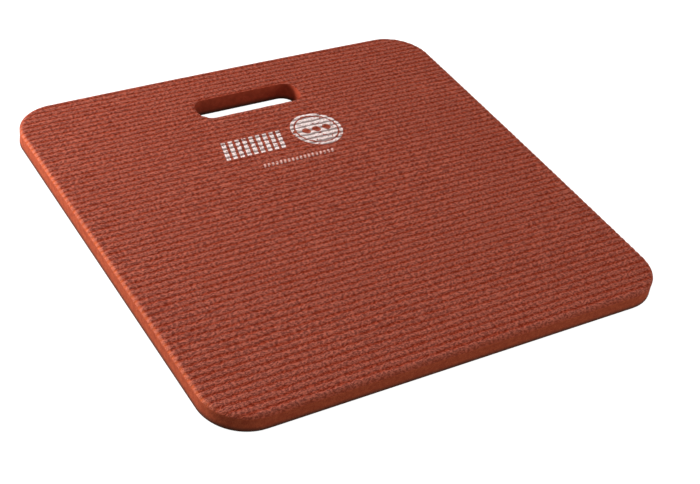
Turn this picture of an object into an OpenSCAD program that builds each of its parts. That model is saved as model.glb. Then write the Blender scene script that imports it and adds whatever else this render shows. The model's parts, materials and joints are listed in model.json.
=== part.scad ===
// Foam kneeling pad: a square slab of closed-cell foam with two ribbed faces, rounded
// corners and one hand slot, with a small white print in front of the slot.
// The origin is at the middle of the underside. +Z is up, the ribs run along X,
// and the hand slot lies along the back edge, towards +Y.

/* [Pad] */
// Width of the pad, along the ribs
pad_w = 400; // [300:10:600]
// Depth of the pad, across the ribs
pad_d = 400; // [350:10:500]
// Thickness over the rib crests, print not counted
pad_t = 15; // [12:1:40]
// Radius of the four outer corners
corner_r = 37; // [10:1:60]

/* [Faces] */
// Number of ribs on each face
rib_count = 66; // [40:2:66]
// Height of a rib above the groove beside it
rib_h = 1; // [0.6:0.1:1.4]
// Width of a groove's flat bottom
groove_w = 1.4; // [0.8:0.1:1.6]
// Run of each sloping side of a rib
flank_w = 0.9; // [0.4:0.1:1.2]
// Foam of a face below its grooves
skin_base = 1; // [0.6:0.1:2]

/* [Hand slot] */
// Length of the slot, along the ribs
slot_w = 100; // [80:1:120]
// Height of the slot, across the ribs
slot_d = 28; // [25:1:36]
// Radius of the slot's corners
slot_r = 12; // [6:1:12]
// Foam between the slot and the back edge
slot_edge = 41; // [30:1:50]

/* [Print] */
// Thickness of the ink film
ink_t = 0.15; // [0.1:0.05:0.3]
// Distance of the badge's centre in front of the slot
print_drop = 46; // [36:1:50]
// Outer diameter of the round badge
badge_d = 46; // [36:1:56]
// Line width of the badge's ring
badge_line = 3; // [2:0.5:4]
// Gap between the badge's ring and its disc
badge_gap = 1.5; // [1:0.5:3]
// Distance of the badge's centre to the right of the pad's middle
badge_x = 35; // [30:1:50]
// Gap between the slanted bars and the badge
mark_gap = 9; // [6:1:20]
// Number of slanted bars
bar_count = 9; // [3:1:10]
// Distance from one bar to the next
bar_pitch = 6.5; // [5:0.5:9]
// Height of the slanted bars
bar_h = 24; // [12:1:26]
// Distance of the bars' middle in front of the badge's centre
bars_drop = 3; // [0:0.5:4]
// Distance of the dashed line in front of the badge's centre
dash_drop = 36; // [34:1:44]
// Number of dashes in the thin line
dash_count = 18; // [8:1:20]
// Distance from one dash to the next
dash_pitch = 3.8; // [3:0.1:4]

/* [Hidden] */
$fn = 96;

rib_pitch = pad_d / rib_count;
crest_w = rib_pitch - groove_w - 2 * flank_w;
skin_t = skin_base + rib_h;
slot_y = pad_d / 2 - slot_edge - slot_d / 2;
cut_over = 2; // extra length of a cutting or cut shape past the pad

bar_w = 0.6 * bar_pitch;
bar_lean = 0.25 * bar_h;
bars_w = (bar_count - 1) * bar_pitch + bar_w + bar_lean;
bars_x = badge_x - badge_d / 2 - mark_gap - bars_w / 2;
dash_w = 0.5 * dash_pitch;
dash_lean = 0.3 * crest_w;
dot_d = 0.17 * badge_d;
dot_pitch = 0.215 * badge_d;

// Middle of the crest of rib i, counted from the front edge
function rib_y(i) = -pad_d / 2 + (i + 0.5) * rib_pitch;
// Middle of the crest that is nearest to y
function nearest_crest(y) = rib_y(round((y + pad_d / 2) / rib_pitch - 0.5));

print_y = slot_y - slot_d / 2 - print_drop;
bars_y = print_y - bars_drop;
dash_y = nearest_crest(print_y - dash_drop);

core_red = [0.69, 0.33, 0.24];
skin_red = [0.56, 0.27, 0.20];
ink_white = [0.90, 0.88, 0.86];

// Rectangle with four round corners, centred
module rounded_rect(w, d, r) {
    square([w - 2 * r, d], center = true);
    square([w, d - 2 * r], center = true);
    for (x = [-1, 1], y = [-1, 1])
        translate([x * (w / 2 - r), y * (d / 2 - r)]) circle(r);
}

// Die-cut outline of the pad with its hand slot
module outline() {
    difference() {
        rounded_rect(pad_w, pad_d, corner_r);
        translate([0, slot_y]) rounded_rect(slot_w, slot_d, slot_r);
    }
}

// Cross-section of a ribbed face: x across the ribs, y up from the foam core
module rib_section() {
    translate([-pad_d / 2, 0]) square([pad_d, skin_base]);
    for (i = [0 : rib_count - 1])
        translate([rib_y(i), 0])
            polygon([
                [-crest_w / 2 - flank_w, 0],
                [crest_w / 2 + flank_w, 0],
                [crest_w / 2 + flank_w, skin_base],
                [crest_w / 2, skin_t],
                [-crest_w / 2, skin_t],
                [-crest_w / 2 - flank_w, skin_base]
            ]);
}

// Ribbed face, from z = 0 at the foam core up to its crests
module ribbed_face() {
    intersection() {
        rotate([90, 0, 90])
            linear_extrude(height = pad_w + 2 * cut_over, center = true) rib_section();
        translate([0, 0, -cut_over]) linear_extrude(height = skin_t + 2 * cut_over) outline();
    }
}

// Ink on the rib crests, inside the 2D shape given as the child
module ink(middle_y, height) {
    color(ink_white) translate([0, 0, pad_t]) linear_extrude(height = ink_t) intersection() {
        children();
        for (i = [0 : rib_count - 1])
            if (abs(rib_y(i) - middle_y) < height / 2 + crest_w)
                translate([-pad_w / 2, rib_y(i) - crest_w / 2]) square([pad_w, crest_w]);
    }
}

// Bar that leans to the right, centred
module leaning_bar(w, h, lean) {
    polygon([
        [-(w + lean) / 2, -h / 2],
        [(w - lean) / 2, -h / 2],
        [(w + lean) / 2, h / 2],
        [(lean - w) / 2, h / 2]
    ]);
}

// Row of leaning bars along X, centred
module bar_row(count, pitch, w, h, lean) {
    for (i = [0 : count - 1])
        translate([(i - (count - 1) / 2) * pitch, 0]) leaning_bar(w, h, lean);
}

module foam_core() {
    color(core_red) translate([0, 0, skin_t]) linear_extrude(height = pad_t - 2 * skin_t) outline();
}

module top_skin() {
    color(skin_red) translate([0, 0, pad_t - skin_t]) ribbed_face();
}

module bottom_skin() {
    color(skin_red) translate([0, 0, skin_t]) mirror([0, 0, 1]) ribbed_face();
}

module badge_ring() {
    ink(print_y, badge_d) translate([badge_x, print_y]) difference() {
        circle(d = badge_d);
        circle(d = badge_d - 2 * badge_line);
    }
}

// Disc with a row of three dots left out of it
module badge_disc() {
    ink(print_y, badge_d) translate([badge_x, print_y]) difference() {
        circle(d = badge_d - 2 * badge_line - 2 * badge_gap);
        for (i = [-1, 0, 1])
            translate([i * dot_pitch, 0]) circle(d = dot_d);
    }
}

module slanted_bars() {
    ink(bars_y, bar_h) translate([bars_x, bars_y])
        bar_row(bar_count, bar_pitch, bar_w, bar_h, bar_lean);
}

module dashed_line() {
    ink(dash_y, crest_w) translate([0, dash_y])
        bar_row(dash_count, dash_pitch, dash_w, crest_w, dash_lean);
}

foam_core();
top_skin();
bottom_skin();
badge_ring();
badge_disc();
slanted_bars();
dashed_line();
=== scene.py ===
"""Foam kneeling pad: the ribbed slab, its hand slot and its worn white print, around the CAD frame."""

import json
import math

import bpy
import numpy as np
from mathutils import Matrix, Vector


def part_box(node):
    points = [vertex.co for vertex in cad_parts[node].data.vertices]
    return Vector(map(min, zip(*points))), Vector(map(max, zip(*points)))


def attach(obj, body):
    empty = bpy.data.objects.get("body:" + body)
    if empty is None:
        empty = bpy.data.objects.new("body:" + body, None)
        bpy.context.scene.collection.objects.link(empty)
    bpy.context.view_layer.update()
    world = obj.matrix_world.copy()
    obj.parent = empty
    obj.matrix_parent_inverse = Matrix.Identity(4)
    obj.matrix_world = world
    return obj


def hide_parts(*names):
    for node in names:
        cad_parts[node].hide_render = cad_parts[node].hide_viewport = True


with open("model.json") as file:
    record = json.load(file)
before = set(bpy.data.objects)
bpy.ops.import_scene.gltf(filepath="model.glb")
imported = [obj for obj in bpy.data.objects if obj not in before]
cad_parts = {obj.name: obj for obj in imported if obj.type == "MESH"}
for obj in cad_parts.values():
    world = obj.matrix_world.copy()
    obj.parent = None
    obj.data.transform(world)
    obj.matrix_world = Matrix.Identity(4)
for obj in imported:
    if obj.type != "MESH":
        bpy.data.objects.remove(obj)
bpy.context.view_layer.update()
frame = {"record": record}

# ---- sizes, in metres ----
MM = 0.001
CORE_LOW, CORE_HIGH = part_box("foam_core")
TOP_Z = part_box("top_skin")[1].z
HALF_W, HALF_D = CORE_HIGH.x, CORE_HIGH.y
CORNER_R = 37 * MM
SLOT_W, SLOT_D, SLOT_R = 100 * MM, 28 * MM, 12 * MM
SLOT_Y = next(m for m in frame["record"]["mounts"] if m["name"] == "hand_slot")["pos_m"][1]
RIB_COUNT = 66
RIB_PITCH = 2 * HALF_D / RIB_COUNT
RIB_STRETCH = 0.08  # how much wider than the mean a rib is at the front edge, and narrower at the back
RIB_H = 0.6 * MM  # height of a crest above the groove beside it
GROOVE_HALF = 0.4 * MM  # half of a groove's flat bottom
FLANK = 1.7 * MM  # run of a rib's rounded side
WANDER, WANDER_CELL = 0.55 * MM, 2.6 * MM  # how far a rib's sides stray, and over what length
LOBE_SHARE, LOBE_CELL = 0.2, 2.4 * MM  # share of a rib's height that its lobes vary, and their length
RIM = 3.6 * MM  # how far in from a cut edge the rounding starts
RIM_DROP, FOOT_DROP = 1.9 * MM, 0.8 * MM  # how far it goes down at the top, and up at the foot
CORE_RIM_SHARE = 0.8  # how much of the upper rounding the core has
RIM_STEPS = RIM * np.array([0, 0.2, 0.45, 0.72, 1])  # places of the mesh lines within the rim
SLOT_RIM = 0.12  # roundness of the slot's edges, as a share of the outline's
PRESS_REACH = 4 * MM  # how far in from a cut edge the die flattens the ribs
BARE_FROM, BARE_TO = 1.1 * MM, 2.7 * MM  # how far in from a cut edge the skin gives way to bare foam
END_COVER = 0.85  # how much of the skin's colour the rim keeps along the front and back
END_BLEND = 0.6  # share of the corner's radius over which a side turns into an end
DOME = 0.8 * MM  # rise of the upper face's middle
BACK_RISE, SIDE_RISE = 1.2 * MM, 0.9 * MM  # rise of the middles of its back edge and of its sides
SIDE_COLUMNS, MIDDLE_COLUMNS = 85, 38  # mesh columns beside the slot, each side, and across it
ROWS_PER_RIB = 6
COARSE_STEP = 14  # columns between the vertices of a hidden face
ARC_POINTS = 13  # rows on a quarter circle of the outline or the slot
ROW_ROOM = 0.3 * MM  # least distance from a rib's row to one on an arc or a cut edge
WALL_RINGS = 4  # mesh lines round the core's cut walls
HOLLOW = 0.18 * MM  # how far in the middle of a cut wall goes
HOLLOW_NOISE, HOLLOW_CELL = 0.06 * MM, 9 * MM  # how unevenly, and over what length
SHARP_ANGLE = math.radians(48)  # edges sharper than this aren't shaded smooth

# ---- the print ----
BADGE_D, BADGE_LINE, BADGE_GAP = 46 * MM, 3 * MM, 1.5 * MM
DOT_D, DOT_PITCH = 0.17 * BADGE_D, 0.215 * BADGE_D
BAR_COUNT, BAR_PITCH, BAR_H, BARS_DROP = 9, 6.5 * MM, 24 * MM, 3 * MM
BAR_W, BAR_LEAN = 0.6 * BAR_PITCH, 0.25 * BAR_H
DASH_COUNT, DASH_PITCH, DASH_W, DASH_H = 18, 3.8 * MM, 1.9 * MM, 5 * MM
DASH_LEAN = 0.3 * DASH_H
PRINT_DROP = 46 * MM  # the badge's centre in front of the slot
PRINT_Y = SLOT_Y - SLOT_D / 2 - PRINT_DROP
INK_LIFT, INK_SINK = 0.09 * MM, 0.05 * MM  # the ink's upper and lower face from the skin's surface
INK_STEP = 0.5 * MM  # mesh size of the ink
INK_MARGIN = (3 * MM, 4 * MM)  # how far round a mark's CAD box its ink is looked for
LEAST_CUT = 0.05  # the ink's outline keeps this share of a mesh step clear of the grid's points
EDGE_SLOPE, SPECK_SLOPE = 1.2 * MM, 0.6 * MM  # distance that a unit of relief, or of wear, stands for
RAGGED, RAGGED_CELL = 0.15, (1.6 * MM, 1.2 * MM)  # unevenness of the ink's lower edge, and its size
SPECK_CELL = (1.3 * MM, 1 * MM)  # size of the worn specks

# ---- colours, linear ----
CREST_DARK, CREST_LIGHT = (0.345, 0.072, 0.039), (0.395, 0.089, 0.049)
# the grooves' colour, darker than the crests': painted shade
GROOVE_LIGHT = (0.305, 0.051, 0.026)
# colours of the pebbles' pits: painted shade in their hollows
CREST_PIT_SHADE, GROOVE_PIT_SHADE = (0.15, 0.019, 0.007), (0.15, 0.016, 0.006)
BARE_DARK, BARE_LIGHT = (0.37, 0.066, 0.024), (0.53, 0.112, 0.042)  # cut foam
SLOT_SHADE_DARK, SLOT_SHADE_LIGHT = (0.26, 0.037, 0.015), (0.39, 0.060, 0.026)  # cut foam in the slot, darker than the outer walls: painted shade of the slot's recess
CELL_EDGE = (0.27, 0.036, 0.012)
# painted contact shadow along the foot of the cut walls
CONTACT_SHADOW = (0.055, 0.024, 0.015)
INK_THICK, INK_WORN = (0.90, 0.76, 0.73), (0.52, 0.40, 0.385)
FAINT_THICK, FAINT_WORN = (0.72, 0.45, 0.40), (0.50, 0.20, 0.155)
# painted shade of the ink down in the grooves
INK_GROOVE_SHADE = (0.24, 0.17, 0.155)

# ---- texture scales, per metre ----
CLOUD_SCALE, GRAIN_SCALE, BEAD_SCALE = 14, 800, 63
MOTTLE_SCALE, CELL_SCALE, INK_SCALE = 230, 1400, 700
BEAD_SQUEEZE, GRAIN_SQUEEZE = (1, 4, 1), (0.65, 1, 1)  # scales along x, y and z
BEAD_SHARE, GRAIN_SHARE = 0.55, 6
PEBBLE_LOW, PEBBLE_HIGH = 2.35, 4.2  # sums of beads and grain that make a pit and a full pebble
CONTACT_SHADOW_FROM, CONTACT_SHADOW_TO = 0.6 * MM, 6 * MM  # heights between which the painted contact shadow on the cut foam fades out

# ---- camera and lights ----
CAMERA_PLACE, CAMERA_TARGET = Vector((-0.5646, -0.8077, 0.7455)), Vector((-0.0101, -0.0509, 0.0075))
CAMERA_ROLL = math.radians(9.13)
CAMERA_LENS, CAMERA_SENSOR = 77.37, 36  # mm
SKY = 0.33
FLOOR_REACH = 6
FLOOR_GREY, FLOOR_GLOW = (0.25, 0.25, 0.25), 0.95  # what it reflects, and how white it looks
LIGHTS = [  # name, azimuth, elevation, distance, size, watts
    ("key", 45, 20, 1.5, 0.6, 39),
    ("fill", 230, 12, 2.0, 1.0, 17),
    ("top", 0, 88, 1.6, 1.2, 8),
]


# ---- the pad's outline and its uneven surface ----
def smooth(t):
    t = np.clip(t, 0, 1)
    return t * t * (3 - 2 * t)


def lattice_noise(x, y, cell_x, cell_y, seed):
    """Smooth noise from -1 to 1 with features about one cell long. It repeats after 256 cells."""
    size, offset = 256, 500
    u, v = np.asarray(x) / cell_x + offset, np.asarray(y) / cell_y + offset
    i, j = np.floor(u).astype(int), np.floor(v).astype(int)
    table = np.random.default_rng(seed).uniform(-1, 1, (size, size))
    fx, fy = smooth(u - i), smooth(v - j)

    def at(a, b):
        return table[a % size, b % size]

    low = at(i, j) * (1 - fx) + at(i + 1, j) * fx
    high = at(i, j + 1) * (1 - fx) + at(i + 1, j + 1) * fx
    return low * (1 - fy) + high * fy


def rounded_rect_distance(x, y, half_w, half_d, r):
    """Distance from a rectangle with round corners, below 0 inside it."""
    qx, qy = np.abs(x) - (half_w - r), np.abs(y) - (half_d - r)
    return np.hypot(np.maximum(qx, 0), np.maximum(qy, 0)) + np.minimum(np.maximum(qx, qy), 0) - r


def outline_distance(x, y):
    """How far inside the pad's outline a point is."""
    return -rounded_rect_distance(x, y, HALF_W, HALF_D, CORNER_R)


def slot_distance(x, y):
    """How far outside the hand slot a point is."""
    return rounded_rect_distance(x, y - SLOT_Y, SLOT_W / 2, SLOT_D / 2, SLOT_R)


def edge_distance(x, y):
    """How far inside the pad's cut edges a point is."""
    return np.minimum(outline_distance(x, y), slot_distance(x, y))


def toward_end(y):
    """0 along the pad's sides, 1 along its front and back."""
    return smooth((np.abs(y) - HALF_D + CORNER_R) / (END_BLEND * CORNER_R))


def crown(x, y):
    """How far the upper face bulges, between corners that lie flat."""
    across, along = 1 - (x / HALF_W) ** 2, 1 - (y / HALF_D) ** 2
    return DOME * across * along + BACK_RISE * across * (1 + y / HALF_D) / 2 + SIDE_RISE * along


def rib_place(y):
    """How many ribs there are from the front edge to y."""
    u = (y + HALF_D) / (2 * HALF_D)
    reach = 1 + RIB_STRETCH
    root = np.sqrt(reach * reach - 4 * RIB_STRETCH * np.clip(u, 0, 1))
    return RIB_COUNT * (reach - root) / (2 * RIB_STRETCH)


def rib_y(place):
    """The y that has so many ribs between it and the front edge."""
    t = place / RIB_COUNT
    return HALF_D * (2 * t + 2 * RIB_STRETCH * t * (1 - t) - 1)


def relief(x, y, seed, side_press, end_level):
    """A moulded face between its grooves, 0, and its crests, about 1.

    Each rib is two rows of uneven lobes. The die flattens side_press of the relief along the sides,
    and all of it to end_level along the front and back.
    """
    place = rib_place(y)
    rib = np.floor(place)
    half = 0.5
    row = rib + np.where(place > rib + half, half, 0)
    from_groove = (half - np.abs(place - rib - half)) * RIB_PITCH
    wander = WANDER * lattice_noise(x, row, WANDER_CELL, half, seed)
    rise = smooth((from_groove - GROOVE_HALF + wander) / FLANK)
    lobes = lattice_noise(x, row, LOBE_CELL, half, seed + 1)
    rise = rise * (1 - LOBE_SHARE + LOBE_SHARE * lobes)
    pressed = side_press + (1 - side_press) * toward_end(y)
    flattened = pressed * (1 - np.clip(edge_distance(x, y) / PRESS_REACH, 0, 1))
    return rise + (end_level - rise) * flattened


def soft_rim(x, y, drop):
    """How far a face falls away towards a cut edge, less round the slot than along the outline."""
    outline = (1 - np.clip(outline_distance(x, y) / RIM, 0, 1)) ** 2
    slot = (1 - np.clip(slot_distance(x, y) / RIM, 0, 1)) ** 2
    return drop * np.maximum(outline, SLOT_RIM * slot)


def top_relief(x, y):
    return relief(x, y, seed=11, side_press=0.1, end_level=0.3)


def bottom_relief(x, y):
    return relief(x, y, seed=23, side_press=1, end_level=0.6)


def top_height(x, y):
    return TOP_Z - RIB_H * (1 - top_relief(x, y)) - soft_rim(x, y, RIM_DROP) + crown(x, y)


def bottom_height(x, y):
    return RIB_H * (1 - bottom_relief(x, y)) + soft_rim(x, y, FOOT_DROP)


# ---- the grid that every layer of the pad shares ----
def arc_reach(y, half_w, half_d, r):
    """Half width of a rounded rectangle at each y within it."""
    into = np.maximum(np.abs(y) - (half_d - r), 0)
    return half_w - r + np.sqrt(np.maximum(r * r - into * into, 0))


def row_places():
    """The y of every row: fixed ones on arcs and cut edges, then the ribs' own where there is room."""
    quarter = np.sin(np.radians(np.linspace(0, 90, ARC_POINTS)))
    outer = HALF_D - CORNER_R + CORNER_R * quarter
    slot = SLOT_D / 2 - SLOT_R + SLOT_R * quarter
    rim = HALF_D - RIM_STEPS
    beside_slot = SLOT_D / 2 + RIM_STEPS
    fixed = [outer, -outer, rim, -rim]
    fixed += [SLOT_Y + slot, SLOT_Y - slot, SLOT_Y + beside_slot, SLOT_Y - beside_slot]
    fixed = np.concatenate(fixed)
    ribs = rib_y(np.arange(RIB_COUNT * ROWS_PER_RIB + 1) / ROWS_PER_RIB)
    ribs = ribs[np.abs(ribs[:, None] - fixed).min(1) > ROW_ROOM]
    return np.unique(np.round(np.concatenate([fixed, ribs]), 9))


def spread(low, high, count):
    """count places from low to high, close together within the rim at each end."""
    steps = RIM_STEPS[:-1]
    inner = np.linspace(0, 1, count - 2 * len(steps))
    low, high = low[:, None], high[:, None]
    return np.hstack([low + steps, low + RIM + (high - low - 2 * RIM) * inner, high - steps[::-1]])


ROWS = row_places()
OUTER = arc_reach(ROWS, HALF_W, HALF_D, CORNER_R)
IN_SLOT = np.abs(ROWS - SLOT_Y) < SLOT_D / 2 + 1e-7
GAP = np.where(IN_SLOT, arc_reach(ROWS - SLOT_Y, SLOT_W / 2, SLOT_D / 2, SLOT_R), SLOT_W / 2 - SLOT_R)
GRID_X = np.hstack(
    [
        spread(-OUTER, -GAP, SIDE_COLUMNS),
        spread(-GAP, GAP, MIDDLE_COLUMNS)[:, 1:-1],
        spread(GAP, OUTER, SIDE_COLUMNS),
    ]
)
GRID_Y = np.repeat(ROWS[:, None], GRID_X.shape[1], 1)
LAST_ROW, LAST_COLUMN = GRID_X.shape[0] - 1, GRID_X.shape[1] - 1
SLOT_LEFT, SLOT_RIGHT = SIDE_COLUMNS - 1, SIDE_COLUMNS + MIDDLE_COLUMNS - 2
SLOT_FRONT, SLOT_BACK = np.flatnonzero(IN_SLOT)[[0, -1]]


def number(row, column):
    return row * (LAST_COLUMN + 1) + column


def edge_loops():
    """The grid's vertices round the outline and round the slot, each with the foam on its left."""
    outer = [number(0, c) for c in range(LAST_COLUMN)]
    outer += [number(r, LAST_COLUMN) for r in range(LAST_ROW)]
    outer += [number(LAST_ROW, c) for c in range(LAST_COLUMN, 0, -1)]
    outer += [number(r, 0) for r in range(LAST_ROW, 0, -1)]
    slot = [number(r, SLOT_LEFT) for r in range(SLOT_FRONT, SLOT_BACK)]
    slot += [number(SLOT_BACK, c) for c in range(SLOT_LEFT, SLOT_RIGHT)]
    slot += [number(r, SLOT_RIGHT) for r in range(SLOT_BACK, SLOT_FRONT, -1)]
    slot += [number(SLOT_FRONT, c) for c in range(SLOT_RIGHT, SLOT_LEFT, -1)]
    return outer, slot


def kept_columns(row, fine):
    """The columns that a face has a vertex on in this row."""
    full = set(range(LAST_COLUMN + 1))
    if fine or row in (0, LAST_ROW):
        return full
    kept = set(range(0, LAST_COLUMN, COARSE_STEP)) | {SLOT_LEFT, SLOT_RIGHT, LAST_COLUMN}
    if row in (SLOT_FRONT, SLOT_BACK):
        kept |= set(range(SLOT_LEFT, SLOT_RIGHT + 1))
    return kept


def face_polygons(fine):
    """The polygons of one face of the pad, facing up, as grid numbers, without the slot."""
    polygons = []
    kept = [kept_columns(r, fine) for r in range(LAST_ROW + 1)]
    for r in range(LAST_ROW):
        shared = sorted(kept[r] & kept[r + 1])
        beside_slot = SLOT_FRONT <= r < SLOT_BACK
        for a, b in zip(shared, shared[1:]):
            if beside_slot and SLOT_LEFT <= a < SLOT_RIGHT:
                continue
            near = [number(r, c) for c in range(a, b + 1) if c in kept[r]]
            far = [number(r + 1, c) for c in range(b, a - 1, -1) if c in kept[r + 1]]
            polygons += fan(near, far)
    return polygons


def fan(near, far):
    """A quad, or where one side has more vertices, triangles from that side to the other."""
    ring = near + far
    if len(ring) == 4:
        return [ring]
    if len(near) > 2:
        return [[a, b, ring[-1]] for a, b in zip(ring, ring[1:-1])]
    return [[ring[0], a, b] for a, b in zip(ring[1:], ring[2:])]


def into_foam(x, y):
    """The two parts of the direction from a cut edge straight into the foam."""
    step = 0.05 * MM
    nx = edge_distance(x + step, y) - edge_distance(x - step, y)
    ny = edge_distance(x, y + step) - edge_distance(x, y - step)
    size = np.maximum(np.hypot(nx, ny), 1e-12)
    return nx / size, ny / size


def cut_wall(loop, low_z, high_z, rings):
    """Places of the rings between the two edges of a cut wall, which the die leaves a touch hollow."""
    x, y = GRID_X.ravel()[loop], GRID_Y.ravel()[loop]
    nx, ny = into_foam(x, y)
    along = np.cumsum(np.hypot(x - np.roll(x, 1), y - np.roll(y, 1)))
    places = []
    for k in range(1, rings + 1):
        t = k / (rings + 1)
        z = low_z + (high_z - low_z) * t
        uneven = lattice_noise(along, np.full_like(along, t), HOLLOW_CELL, cell_y=0.4, seed=5)
        inward = HOLLOW * math.sin(math.pi * t) + HOLLOW_NOISE * uneven
        places.append(np.stack([x + nx * inward, y + ny * inward, z], 1))
    return places


def layer(name, low, high, materials, fine_low=False, fine_high=False, rings=0):
    """One closed layer of foam between two heights, with the slot through it.

    Its materials are those of its faces, of its outer wall and of the wall round the slot.
    A face that isn't fine has few vertices, and rings counts the mesh lines round its walls.
    """
    x, y = GRID_X.ravel(), GRID_Y.ravel()
    count = len(x)
    low_z, high_z = low(x, y), high(x, y)
    points = [np.stack([x, y, low_z], 1), np.stack([x, y, high_z], 1)]
    polygons = [p[::-1] for p in face_polygons(fine_low)]
    polygons += [[k + count for k in p] for p in face_polygons(fine_high)]
    slots = [0] * len(polygons)
    used = 2 * count
    for slot, loop in enumerate(edge_loops(), 1):
        ring = np.array(loop)
        stack = [ring]
        for places in cut_wall(ring, low_z[ring], high_z[ring], rings):
            points.append(places)
            stack.append(np.arange(len(ring)) + used)
            used += len(ring)
        stack.append(ring + count)
        for lower, upper in zip(stack, stack[1:]):
            walls = np.stack([lower, np.roll(lower, -1), np.roll(upper, -1), upper], 1)
            polygons += walls.tolist()
            slots += [slot] * len(walls)
    return mesh_object(name, np.concatenate(points), polygons, materials, slots)


def mesh_object(name, points, polygons, materials, slots):
    """A smooth-shaded object from points and polygons, with points that no polygon uses left out."""
    live = np.unique(np.concatenate([np.asarray(p) for p in polygons]))
    renumber = np.full(len(points), -1)
    renumber[live] = np.arange(len(live))
    mesh = bpy.data.meshes.new(name)
    mesh.from_pydata(points[live].tolist(), [], [renumber[p].tolist() for p in polygons])
    for material in materials:
        mesh.materials.append(material)
    mesh.polygons.foreach_set("material_index", slots)
    mesh.polygons.foreach_set("use_smooth", [True] * len(mesh.polygons))
    mesh.set_sharp_from_angle(angle=SHARP_ANGLE)
    mesh.validate()
    obj = bpy.data.objects.new(name, mesh)
    bpy.context.scene.collection.objects.link(obj)
    return obj


# ---- materials ----
def new_material(name):
    material = bpy.data.materials.new(name)
    material.use_nodes = True
    nodes, links = material.node_tree.nodes, material.node_tree.links
    return material, nodes, links, nodes["Principled BSDF"]


def object_place(nodes):
    return nodes.new("ShaderNodeTexCoord").outputs["Object"]


def stored_value(nodes, name):
    """A measure that mark() stored on the mesh."""
    node = nodes.new("ShaderNodeAttribute")
    node.attribute_name = name
    return node.outputs["Fac"]


def noise_node(nodes, links, coordinates, scale, detail):
    node = nodes.new("ShaderNodeTexNoise")
    node.inputs["Scale"].default_value = scale
    node.inputs["Detail"].default_value = detail
    links.new(coordinates, node.inputs["Vector"])
    return node.outputs["Fac"]


def math_node(nodes, links, operation, *values):
    node = nodes.new("ShaderNodeMath")
    node.operation = operation
    for socket, value in zip(node.inputs, values):
        if isinstance(value, (int, float)):
            socket.default_value = value
        else:
            links.new(value, socket)
    return node.outputs[0]


def mix_colour(nodes, links, factor, first, second):
    node = nodes.new("ShaderNodeMix")
    node.data_type = "RGBA"
    links.new(factor, node.inputs["Factor"])
    for socket, value in ((node.inputs[6], first), (node.inputs[7], second)):
        if isinstance(value, tuple):
            socket.default_value = (*value, 1)
        else:
            links.new(value, socket)
    return node.outputs[2]


def stretched(nodes, links, value, low, high):
    """The value spread so that low becomes 0 and high becomes 1."""
    node = nodes.new("ShaderNodeMapRange")
    node.interpolation_type = "SMOOTHSTEP"
    node.inputs["From Min"].default_value = low
    node.inputs["From Max"].default_value = high
    links.new(value, node.inputs["Value"])
    return node.outputs["Result"]


def squeezed(nodes, links, place, scale):
    """Texture coordinates multiplied by a scale for each axis."""
    node = nodes.new("ShaderNodeMapping")
    node.inputs["Scale"].default_value = scale
    links.new(place, node.inputs["Vector"])
    return node.outputs["Vector"]


def bead_rows(nodes, links, place):
    """Small lumps about 5 mm apart along each rib, out of step with those of the next rib."""
    node = nodes.new("ShaderNodeTexWave")
    node.inputs["Scale"].default_value = BEAD_SCALE
    node.inputs["Distortion"].default_value = 7
    node.inputs["Detail"].default_value = 1
    node.inputs["Detail Scale"].default_value = 1
    links.new(squeezed(nodes, links, place, BEAD_SQUEEZE), node.inputs["Vector"])
    return node.outputs["Fac"]


def bump_node(nodes, links, height, strength, distance):
    node = nodes.new("ShaderNodeBump")
    node.inputs["Strength"].default_value = strength
    node.inputs["Distance"].default_value = distance
    links.new(height, node.inputs["Height"])
    return node.outputs["Normal"]


def moulded_skin():
    """The matt moulded face: darker in its grooves as painted shade, with fine pebbles whose pits are
    darkened as painted shade, and clouds of lighter red.
    """
    material, nodes, links, shader = new_material("moulded_skin")
    place = object_place(nodes)
    raised = stretched(nodes, links, stored_value(nodes, "relief"), 0, 0.7)
    clouds = noise_node(nodes, links, place, CLOUD_SCALE, 2)
    grain = noise_node(nodes, links, squeezed(nodes, links, place, GRAIN_SQUEEZE), GRAIN_SCALE, 2)
    beads = math_node(nodes, links, "MULTIPLY", bead_rows(nodes, links, place), BEAD_SHARE)
    pebbles = math_node(nodes, links, "MULTIPLY_ADD", grain, GRAIN_SHARE, beads)
    pebbles = stretched(nodes, links, pebbles, PEBBLE_LOW, PEBBLE_HIGH)
    crest = mix_colour(nodes, links, clouds, CREST_DARK, CREST_LIGHT)
    # painted shade in the pebbles' pits
    crest = mix_colour(nodes, links, pebbles, CREST_PIT_SHADE, crest)
    groove = mix_colour(nodes, links, pebbles, GROOVE_PIT_SHADE, GROOVE_LIGHT)
    # painted shade: the grooves darker than the crests
    colour = mix_colour(nodes, links, raised, groove, crest)
    bare = mix_colour(nodes, links, clouds, BARE_DARK, BARE_LIGHT)
    colour = mix_colour(nodes, links, stored_value(nodes, "inside"), bare, colour)
    links.new(colour, shader.inputs["Base Color"])
    shader.inputs["Roughness"].default_value = 0.7
    # painted shade on the sheen: the specular level falls to nothing down in the grooves
    links.new(math_node(nodes, links, "MULTIPLY", raised, 0.3), shader.inputs["Specular IOR Level"])
    links.new(bump_node(nodes, links, pebbles, 1.0, 0.35 * MM), shader.inputs["Normal"])
    return material


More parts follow.
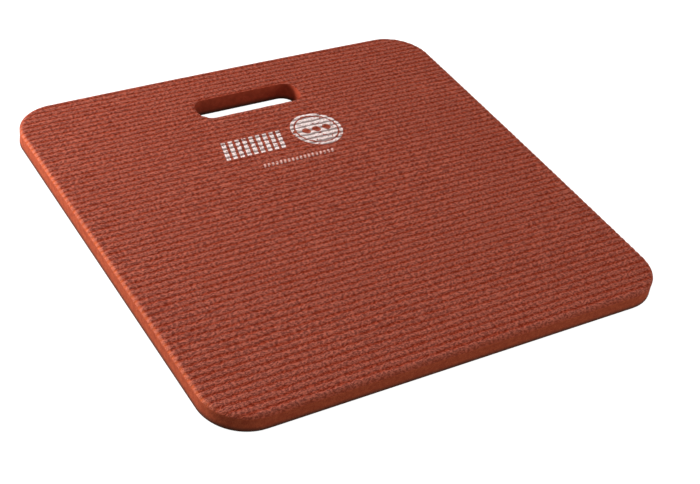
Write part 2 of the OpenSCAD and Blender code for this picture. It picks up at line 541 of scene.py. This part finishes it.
def cut_foam(name, dark, light):
    """The die-cut face: brighter, fine-celled foam, darkened along the ground by a painted contact
    shadow.
    """
    material, nodes, links, shader = new_material(name)
    place = object_place(nodes)
    cells = nodes.new("ShaderNodeTexVoronoi")
    cells.inputs["Scale"].default_value = CELL_SCALE
    links.new(place, cells.inputs["Vector"])
    mottle = stretched(nodes, links, noise_node(nodes, links, place, MOTTLE_SCALE, 3), 0.32, 0.68)
    colour = mix_colour(nodes, links, mottle, dark, light)
    colour = mix_colour(nodes, links, cells.outputs["Distance"], colour, CELL_EDGE)
    split = nodes.new("ShaderNodeSeparateXYZ")
    links.new(place, split.inputs[0])
    # painted contact shadow: darker towards the ground, fading out between the two heights
    unshaded = stretched(nodes, links, split.outputs["Z"], CONTACT_SHADOW_FROM, CONTACT_SHADOW_TO)
    colour = mix_colour(nodes, links, unshaded, CONTACT_SHADOW, colour)
    links.new(colour, shader.inputs["Base Color"])
    shader.inputs["Roughness"].default_value = 0.85
    shader.inputs["Specular IOR Level"].default_value = 0.15
    links.new(bump_node(nodes, links, cells.outputs["Distance"], 0.4, 0.2 * MM), shader.inputs["Normal"])
    return material


def screen_ink(name, thick, worn):
    """Matt ink, paler where it is thick than where it is worn, with painted shade darkening it down in
    the grooves.
    """
    material, nodes, links, shader = new_material(name)
    thin = noise_node(nodes, links, object_place(nodes), INK_SCALE, 2)
    raised = stretched(nodes, links, stored_value(nodes, "relief"), 0.1, 0.7)
    colour = mix_colour(nodes, links, stretched(nodes, links, thin, 0.35, 0.65), worn, thick)
    # painted shade: the ink darker in the grooves
    colour = mix_colour(nodes, links, raised, INK_GROOVE_SHADE, colour)
    links.new(colour, shader.inputs["Base Color"])
    shader.inputs["Roughness"].default_value = 0.6
    shader.inputs["Specular IOR Level"].default_value = 0.4
    links.new(bump_node(nodes, links, thin, 0.3, 0.1 * MM), shader.inputs["Normal"])
    return material


# ---- camera, light and floor ----
def camera():
    """The view from the front left, a little rolled."""
    data = bpy.data.cameras.new("camera")
    data.lens = CAMERA_LENS
    data.sensor_width = CAMERA_SENSOR
    cam = bpy.data.objects.new("camera", data)
    bpy.context.scene.collection.objects.link(cam)
    look = (CAMERA_TARGET - CAMERA_PLACE).to_track_quat("-Z", "Y").to_matrix().to_4x4()
    roll = Matrix.Rotation(CAMERA_ROLL, 4, "Z")
    cam.matrix_world = Matrix.Translation(CAMERA_PLACE) @ look @ roll
    bpy.context.scene.camera = cam


def area_light(name, azimuth, elevation, distance, size, watts):
    """A square soft light aimed at the pad. Azimuth 0 is behind the pad and 90 to its left."""
    a, e = math.radians(azimuth), math.radians(elevation)
    place = Vector((-math.sin(a) * math.cos(e), math.cos(a) * math.cos(e), math.sin(e))) * distance
    data = bpy.data.lights.new(name, "AREA")
    data.size = size
    data.energy = watts
    obj = bpy.data.objects.new(name, data)
    obj.location = place
    obj.rotation_euler = (-place).to_track_quat("-Z", "Y").to_euler()
    bpy.context.scene.collection.objects.link(obj)


def floor_material():
    """White to the camera, but grey to the light that it would throw back onto the pad."""
    material, nodes, links, shader = new_material("floor")
    shader.inputs["Base Color"].default_value = (*FLOOR_GREY, 1)
    shader.inputs["Roughness"].default_value = 1
    shader.inputs["Specular IOR Level"].default_value = 0
    shader.inputs["Emission Color"].default_value = (1, 1, 1, 1)
    seen = nodes.new("ShaderNodeLightPath").outputs["Is Camera Ray"]
    glow = math_node(nodes, links, "MULTIPLY", seen, FLOOR_GLOW)
    links.new(glow, shader.inputs["Emission Strength"])
    return material


def studio():
    """Weak sky, white floor, a low soft key from behind on the left and a weak fill."""
    scene = bpy.context.scene
    scene.view_settings.view_transform = "Standard"
    world = bpy.data.worlds.new("studio")
    world.use_nodes = True
    background = world.node_tree.nodes["Background"]
    background.inputs["Color"].default_value = (1, 1, 1, 1)
    background.inputs["Strength"].default_value = SKY
    scene.world = world
    for light in LIGHTS:
        area_light(*light)
    mesh = bpy.data.meshes.new("floor")
    corners = [(-1, -1), (1, -1), (1, 1), (-1, 1)]
    mesh.from_pydata([(x * FLOOR_REACH, y * FLOOR_REACH, 0) for x, y in corners], [], [(0, 1, 2, 3)])
    mesh.materials.append(floor_material())
    floor = bpy.data.objects.new("floor", mesh)
    scene.collection.objects.link(floor)


# ---- the pad ----
def stand_for(piece, node):
    """The piece replaces its CAD node and moves with the one body."""
    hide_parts(node)
    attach(piece, "root")


def core_top(x, y):
    return CORE_HIGH.z + crown(x, y) - soft_rim(x, y, CORE_RIM_SHARE * RIM_DROP)


def core_bottom(x, y):
    return np.full_like(x, CORE_LOW.z)


def inside_bare_rim(x, y):
    """0 on the bare foam along the pad's sides, 1 where the skin covers it."""
    covered = smooth((outline_distance(x, y) - BARE_FROM) / (BARE_TO - BARE_FROM))
    return np.maximum(covered, END_COVER * toward_end(y))


def mark(piece, name, measure):
    """Stores a measure of each vertex's place with it, for the material."""
    places = np.array([v.co for v in piece.data.vertices])
    attribute = piece.data.attributes.new(name, "FLOAT", "POINT")
    attribute.data.foreach_set("value", measure(places[:, 0], places[:, 1]).astype(np.float32))


def pad():
    skin = moulded_skin()
    cut = cut_foam("cut_foam", BARE_DARK, BARE_LIGHT)
    # a darker copy of the cut foam for the slot's walls: painted shade of the recess
    slot_shaded = cut_foam("gripped_foam", SLOT_SHADE_DARK, SLOT_SHADE_LIGHT)
    core = layer("pad_core", core_bottom, core_top, [cut, cut, slot_shaded], rings=WALL_RINGS)
    top = layer("pad_top_skin", core_top, top_height, [skin, cut, slot_shaded], fine_high=True)
    under = layer("pad_bottom_skin", bottom_height, core_bottom, [skin, cut, slot_shaded], fine_low=True)
    mark(top, "relief", top_relief)
    mark(under, "relief", bottom_relief)
    mark(top, "inside", inside_bare_rim)
    mark(under, "inside", inside_bare_rim)
    stand_for(core, "foam_core")
    stand_for(top, "top_skin")
    stand_for(under, "bottom_skin")


# ---- the print ----
def middle(node):
    """Middle of a CAD node's box."""
    low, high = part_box(node)
    return (low + high) / 2


BADGE_X = middle("badge_ring").x


def in_ring(x, y):
    """How far inside the badge's ring a point is."""
    r = np.hypot(x - BADGE_X, y - PRINT_Y)
    return BADGE_LINE / 2 - np.abs(r - (BADGE_D - BADGE_LINE) / 2)


def in_dots(x, y):
    """How far inside the badge's row of three dots a point is."""
    u = x - BADGE_X
    nearest = np.clip(np.round(u / DOT_PITCH), -1, 1)
    return DOT_D / 2 - np.hypot(u - nearest * DOT_PITCH, y - PRINT_Y)


def in_disc(x, y):
    """How far inside the badge's disc, which has the dots left out, a point is."""
    disc_r = BADGE_D / 2 - BADGE_LINE - BADGE_GAP
    return np.minimum(disc_r - np.hypot(x - BADGE_X, y - PRINT_Y), -in_dots(x, y))


def in_bars(x, y, middle_x, middle_y, count, pitch, width, height, lean):
    """How far inside a row of bars that lean to the right a point is."""
    slope = lean / height
    u = x - middle_x - slope * (y - middle_y)
    nearest = np.clip(np.round(u / pitch + (count - 1) / 2), 0, count - 1) - (count - 1) / 2
    across = (width / 2 - np.abs(u - nearest * pitch)) / math.hypot(1, slope)
    return np.minimum(across, height / 2 - np.abs(y - middle_y))


def in_slanted_bars(x, y):
    u = middle("slanted_bars").x
    return in_bars(x, y, u, PRINT_Y - BARS_DROP, BAR_COUNT, BAR_PITCH, BAR_W, BAR_H, BAR_LEAN)


def in_dashes(x, y):
    crest = rib_y(np.round(rib_place(middle("dashed_line").y) - 0.5) + 0.5)
    return in_bars(x, y, 0, crest, DASH_COUNT, DASH_PITCH, DASH_W, DASH_H, DASH_LEAN)


def inked(motif, seed, reach, wear):
    """How far inside the part of a motif that took ink a point is.

    The ink goes down to reach below the crests, and the more wear, the more specks are worn off.
    """

    def field(x, y):
        ragged = RAGGED * lattice_noise(x, y, *RAGGED_CELL, seed)
        took = (top_relief(x, y) - 1 + reach + ragged) * EDGE_SLOPE
        worn = (1 - wear + lattice_noise(x, y, *SPECK_CELL, seed + 1)) * SPECK_SLOPE
        return np.minimum(np.minimum(motif(x, y), took), worn)

    return field


def skin_surface(x, y, heights):
    """Height of the top skin's own mesh, in the rows in front of the slot."""
    row = np.clip(np.searchsorted(ROWS, y) - 1, 0, LAST_ROW - 1)
    columns = GRID_X[np.searchsorted(ROWS, PRINT_Y)]
    column = np.searchsorted(columns, x) - 1
    fy = (y - ROWS[row]) / (ROWS[row + 1] - ROWS[row])
    fx = (x - columns[column]) / (columns[column + 1] - columns[column])
    near = heights[row, column] * (1 - fx) + heights[row, column + 1] * fx
    far = heights[row + 1, column] * (1 - fx) + heights[row + 1, column + 1] * fx
    return near * (1 - fy) + far * fy


def marched(field, low, high):
    """Points and polygons of the area where field is above 0, on a square grid from low to high."""
    xs, ys = np.arange(low[0], high[0], INK_STEP), np.arange(low[1], high[1], INK_STEP)
    values = field(*np.meshgrid(xs, ys, indexing="ij"))
    numbers, points, polygons = {}, [], []

    def place(a, b):
        """The corner a, or where the edge from corner a to corner b crosses 0."""
        if a == b:
            return xs[a[0]], ys[a[1]]
        t = values[a] / (values[a] - values[b])
        t = min(max(t, LEAST_CUT), 1 - LEAST_CUT)
        return xs[a[0]] + t * (xs[b[0]] - xs[a[0]]), ys[a[1]] + t * (ys[b[1]] - ys[a[1]])

    def point(a, b):
        """The number of the point that two neighbouring corners, or one corner twice, stand for."""
        key = (min(a, b), max(a, b))
        if key not in numbers:
            numbers[key] = len(points)
            points.append(place(*key))
        return numbers[key]

    for i in range(len(xs) - 1):
        for j in range(len(ys) - 1):
            corners = [(i, j), (i + 1, j), (i + 1, j + 1), (i, j + 1)]
            polygon = []
            for a, b in zip(corners, corners[1:] + corners[:1]):
                if values[a] > 0:
                    polygon.append(point(a, a))
                if (values[a] > 0) != (values[b] > 0):
                    polygon.append(point(a, b))
            if polygon:
                polygons.append(polygon)
    return np.array(points), polygons


def ink_film(name, node, field, heights, material):
    """A thin closed film of ink where field is above 0, on the top skin's surface."""
    low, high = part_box(node)
    wide, deep = INK_MARGIN
    places, upper = marched(field, (low.x - wide, low.y - deep), (high.x + wide, high.y + deep))
    surface = skin_surface(places[:, 0], places[:, 1], heights)
    count = len(places)
    faces = [np.column_stack([places, surface + offset]) for offset in (INK_LIFT, -INK_SINK)]
    edges = {(a, b) for p in upper for a, b in zip(p, p[1:] + p[:1])}
    rim = [[a + count, b + count, b, a] for a, b in edges if (b, a) not in edges]
    under = [[k + count for k in reversed(p)] for p in upper]
    polygons = upper + under + sorted(rim)
    film = mesh_object(name, np.vstack(faces), polygons, [material], [0] * len(polygons))
    mark(film, "relief", top_relief)
    stand_for(film, node)


def print_films():
    ink = screen_ink("screen_ink", INK_THICK, INK_WORN)
    faint = screen_ink("faint_ink", FAINT_THICK, FAINT_WORN)
    heights = top_height(GRID_X, GRID_Y)
    ring = inked(in_ring, seed=31, reach=1.05, wear=0.5)
    disc = inked(in_disc, seed=37, reach=1.2, wear=0.5)
    bars = inked(in_slanted_bars, seed=41, reach=1.05, wear=0.4)
    dashes = inked(in_dashes, seed=43, reach=1.15, wear=0.5)
    ink_film("print_badge_ring", "badge_ring", ring, heights, ink)
    ink_film("print_badge_disc", "badge_disc", disc, heights, ink)
    ink_film("print_slanted_bars", "slanted_bars", bars, heights, ink)
    ink_film("print_dashed_line", "dashed_line", dashes, heights, faint)


camera()
studio()
pad()
print_films()
